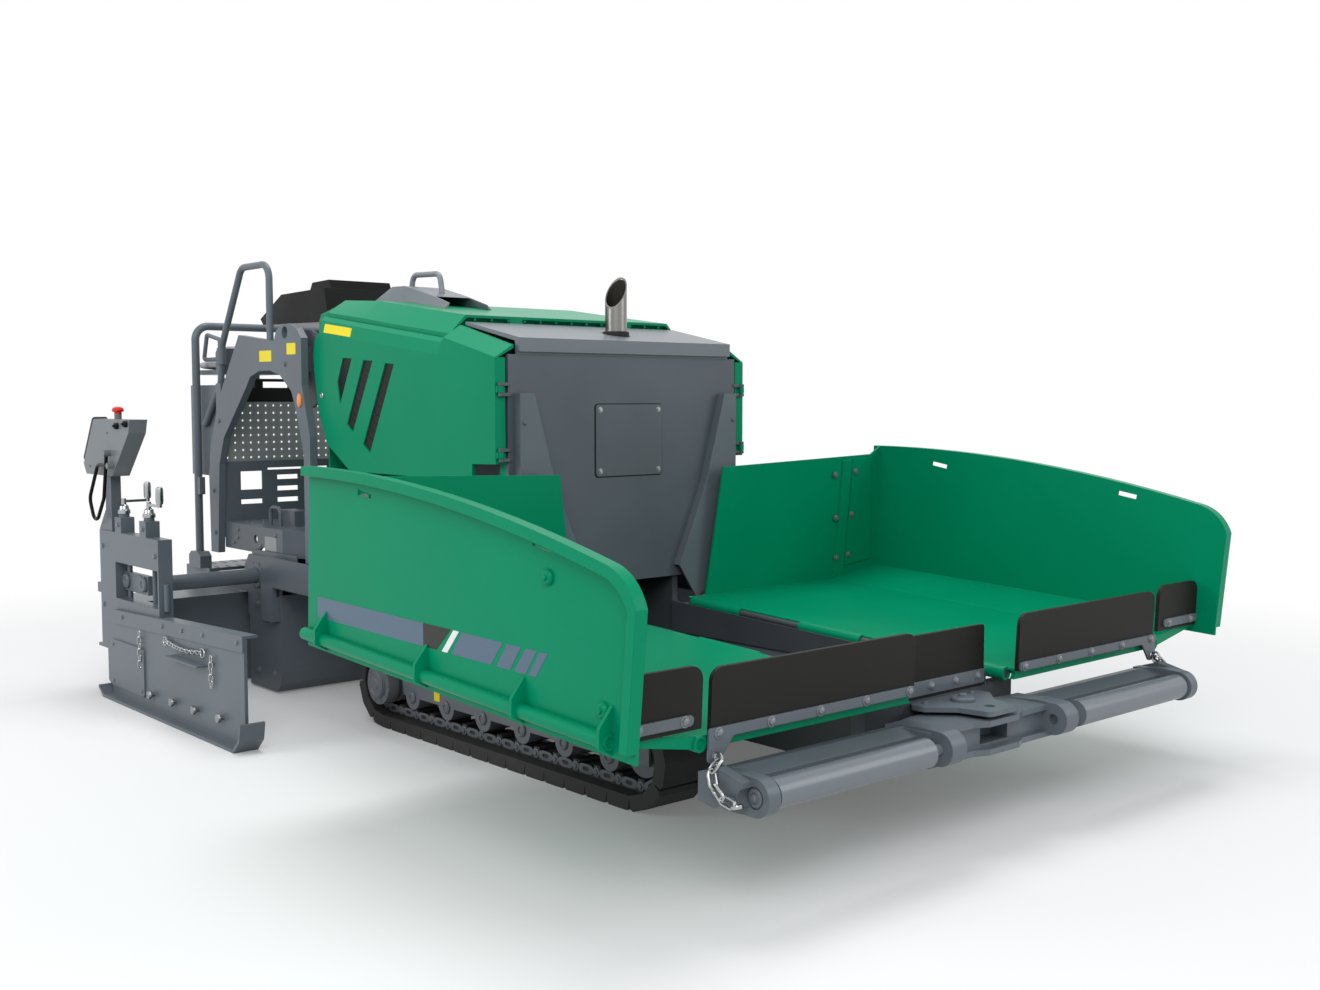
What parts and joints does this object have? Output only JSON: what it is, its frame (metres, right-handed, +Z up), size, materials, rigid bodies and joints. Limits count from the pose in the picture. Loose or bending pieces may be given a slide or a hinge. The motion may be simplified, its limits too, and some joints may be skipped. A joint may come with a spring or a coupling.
{
  "type": "tracked asphalt paver",
  "caption": "Compact tracked asphalt paver: folding hopper, push rollers, conveyor, engine hood, operator's platform with arches, augers and an extending screed.",
  "frame": {"origin": "on the ground under the middle of the machine's bounding box", "axes": "+Z up, the machine faces -Y, +X is its left side"},
  "size_m": [2.592, 3.9949, 1.748],
  "materials": {
    "green_paint": "satin",
    "grey_steel": "satin",
    "dark_steel": "matte",
    "bare_steel": "satin",
    "rubber": "matte",
    "track_rubber": "matte",
    "black_plastic": "matte",
    "seat_cover": "matte"
  },
  "bodies": {
    "machine": {"arches": "grey_steel", "auger_hanger": "dark_steel", "chassis_frame": "dark_steel", "console": "black_plastic", "conveyor_chain": "dark_steel", "conveyor_trough": "dark_steel", "deflectors": "grey_steel", "engine_block": "dark_steel", "exhaust_pipe": "bare_steel", "front_panel": "grey_steel", "guard_panel": "grey_steel", "hood_frame": "green_paint", "hood_lid": "grey_steel", "middle_flap": "rubber", "platform": "grey_steel", "push_tongue": "grey_steel", "seat_frames": "grey_steel", "seats": "seat_cover", "track_chains": "dark_steel", "track_frames": "dark_steel", "track_left": "track_rubber", "track_right": "track_rubber", "track_wheels": "dark_steel"},
    "bonnet_body": {"bonnet": "green_paint", "air_intake": "grey_steel", "bonnet_handle": "grey_steel"},
    "door_right": {"side_door_right": "green_paint"},
    "door_left": {"side_door_left": "green_paint"},
    "wing_right": {"hopper_wing_right": "green_paint", "hopper_flaps_right": "rubber", "flap_strips_right": "grey_steel"},
    "wing_left": {"hopper_wing_left": "green_paint", "hopper_flaps_left": "rubber", "flap_strips_left": "grey_steel"},
    "push_beam_body": {"push_beam": "grey_steel"},
    "push_roller_right_body": {"push_roller_right": "grey_steel"},
    "push_roller_left_body": {"push_roller_left": "grey_steel"},
    "auger_right_body": {"auger_right": "dark_steel"},
    "auger_left_body": {"auger_left": "dark_steel"},
    "screed": {"tow_arms": "grey_steel", "screed_shield": "grey_steel", "screed_frame": "grey_steel", "walkway": "grey_steel", "rear_rail": "grey_steel"},
    "extension_right_body": {"extension_right": "grey_steel", "end_gate_right": "grey_steel", "cranks_right": "bare_steel", "control_box_right": "grey_steel", "control_cable": "black_plastic"},
    "extension_left_body": {"extension_left": "grey_steel", "end_gate_left": "grey_steel", "cranks_left": "bare_steel", "control_box_left": "grey_steel"}
  },
  "joints": [
    {"name": "bonnet_hinge", "type": "hinge", "parent": "machine", "child": "bonnet_body", "pos_m": [0, -0.07, 1.45], "axis": [1, 0, 0], "range_deg": [0, 45]},
    {"name": "door_right_hinge", "type": "hinge", "parent": "machine", "child": "door_right", "pos_m": [-0.545, -0.391, 1], "axis": [0, 0, 1], "range_deg": [0, 80]},
    {"name": "door_left_hinge", "type": "hinge", "parent": "machine", "child": "door_left", "pos_m": [0.545, -0.391, 1], "axis": [0, 0, -1], "range_deg": [0, 80]},
    {"name": "wing_right_fold", "type": "hinge", "parent": "machine", "child": "wing_right", "pos_m": [-0.23, -1.805, 0.408], "axis": [0, 0.999, 0.0454], "range_deg": [0, 60]},
    {"name": "wing_left_fold", "type": "hinge", "parent": "machine", "child": "wing_left", "pos_m": [0.23, -1.805, 0.408], "axis": [0, -0.999, -0.0454], "range_deg": [0, 60]},
    {"name": "push_beam_swivel", "type": "hinge", "parent": "machine", "child": "push_beam_body", "pos_m": [0, -1.815, 0.3], "axis": [0, 0, 1], "range_deg": [-4, 4]},
    {"name": "push_roller_right_spin", "type": "hinge", "parent": "push_beam_body", "child": "push_roller_right_body", "pos_m": [-0.6275, -1.955, 0.303], "axis": [1, 0, 0], "continuous": true},
    {"name": "push_roller_left_spin", "type": "hinge", "parent": "push_beam_body", "child": "push_roller_left_body", "pos_m": [0.6275, -1.955, 0.303], "axis": [1, 0, 0], "continuous": true},
    {"name": "auger_right_spin", "type": "hinge", "parent": "machine", "child": "auger_right_body", "pos_m": [-0.2, 0.755, 0.29], "axis": [1, 0, 0], "continuous": true},
    {"name": "auger_left_spin", "type": "hinge", "parent": "machine", "child": "auger_left_body", "pos_m": [0.2, 0.755, 0.29], "axis": [1, 0, 0], "continuous": true},
    {"name": "screed_lift", "type": "hinge", "parent": "machine", "child": "screed", "pos_m": [0, -0.245, 0.49], "axis": [1, 0, 0], "range_deg": [0, 2]},
    {"name": "extension_right_slide", "type": "slide", "parent": "screed", "child": "extension_right_body", "axis": [1, 0, 0], "range_m": [0, 0.4]},
    {"name": "extension_left_slide", "type": "slide", "parent": "screed", "child": "extension_left_body", "axis": [-1, 0, 0], "range_m": [0, 0.4]}
  ]
}
